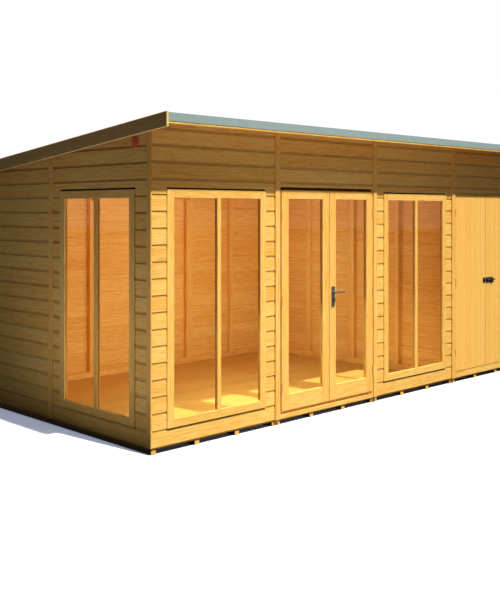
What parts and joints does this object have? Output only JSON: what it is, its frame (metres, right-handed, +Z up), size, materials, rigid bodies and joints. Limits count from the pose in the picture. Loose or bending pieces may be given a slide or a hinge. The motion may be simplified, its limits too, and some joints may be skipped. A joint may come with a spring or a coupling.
{
  "type": "summerhouse",
  "caption": "Long timber summerhouse: single-slope felt roof, shiplap walls, tall fixed windows, glazed double doors that swing open and a side store behind bolted plank doors.",
  "frame": {"origin": "on the ground under the middle of the roof's outline, at the bearers' underside", "axes": "+X along the front towards the store, +Y from the doors towards the back wall, +Z up"},
  "size_m": [4.95, 2.764, 2.2518],
  "materials": {
    "boards": "honey-coloured wood stain on shiplap and planks",
    "joinery": "honey-coloured wood stain on planed frames",
    "inner_timber": "honey-coloured wood stain, inside",
    "dark_timber": "dark treated timber",
    "glass": "clear, polished",
    "satin_steel": "satin",
    "brassed_steel": "satin plating",
    "black_iron": "black, semi-gloss",
    "roof_felt": "mineral-faced roofing felt, green grey"
  },
  "bodies": {
    "building": {"floor_bearers": "dark_timber", "floor_boards": "inner_timber", "front_wall_studs": "inner_timber", "front_wall_rails": "inner_timber", "back_wall_studs": "inner_timber", "back_wall_rails": "inner_timber", "side_wall_studs": "inner_timber", "side_wall_rails": "inner_timber", "partition_studs": "inner_timber", "partition_rails": "inner_timber", "partition_boards": "inner_timber", "front_wall_boards": "boards", "door_header_boards": "boards", "left_wall_boards": "boards", "right_wall_boards": "boards", "back_wall_boards": "boards", "cover_strips": "joinery", "front_window_frames": "joinery", "side_window_frame": "joinery", "window_glass": "glass", "door_posts": "joinery", "door_sills": "joinery", "post_hinges": "brassed_steel", "beam_blocks": "dark_timber", "roof_beams": "inner_timber", "roof_boards": "inner_timber", "roof_felt": "roof_felt", "roof_fascias": "joinery", "barge_boards": "boards"},
    "main_left_leaf": {"main_door_left": "joinery", "main_door_left_glass": "glass", "main_left_hinges": "brassed_steel"},
    "main_right_leaf": {"main_door_right": "joinery", "main_door_right_glass": "glass", "main_right_hinges": "brassed_steel", "handle_plates": "satin_steel"},
    "lever": {"lever_handle": "satin_steel"},
    "storage_left_leaf": {"storage_door_left": "boards", "bolt_keep": "black_iron", "storage_left_hinges": "brassed_steel"},
    "storage_right_leaf": {"storage_door_right": "boards", "bolt_case": "black_iron", "storage_right_hinges": "brassed_steel"},
    "bolt": {"bolt_bar": "black_iron"}
  },
  "joints": [
    {"name": "main_left_door", "type": "hinge", "parent": "building", "child": "main_left_leaf", "pos_m": [-1.1595, -1.155, 0.9365], "axis": [0, 0, -1], "range_deg": [0, 105]},
    {"name": "main_right_door", "type": "hinge", "parent": "building", "child": "main_right_leaf", "pos_m": [-0.0405, -1.155, 0.9365], "axis": [0, 0, 1], "range_deg": [0, 105]},
    {"name": "lever_turn", "type": "hinge", "parent": "main_right_leaf", "child": "lever", "pos_m": [-0.558, -1.132, 0.964], "axis": [0, 1, 0], "range_deg": [0, 40], "stiffness_Nm_per_rad": 3, "springref_deg": -20.05},
    {"name": "storage_left_door", "type": "hinge", "parent": "building", "child": "storage_left_leaf", "pos_m": [1.2405, -1.147, 0.9365], "axis": [0, 0, -1], "range_deg": [0, 105]},
    {"name": "storage_right_door", "type": "hinge", "parent": "building", "child": "storage_right_leaf", "pos_m": [2.3195, -1.147, 0.9365], "axis": [0, 0, 1], "range_deg": [0, 105]},
    {"name": "bolt_slide", "type": "slide", "parent": "storage_right_leaf", "child": "bolt", "axis": [-1, 0, 0], "range_m": [0, 0.05]}
  ]
}
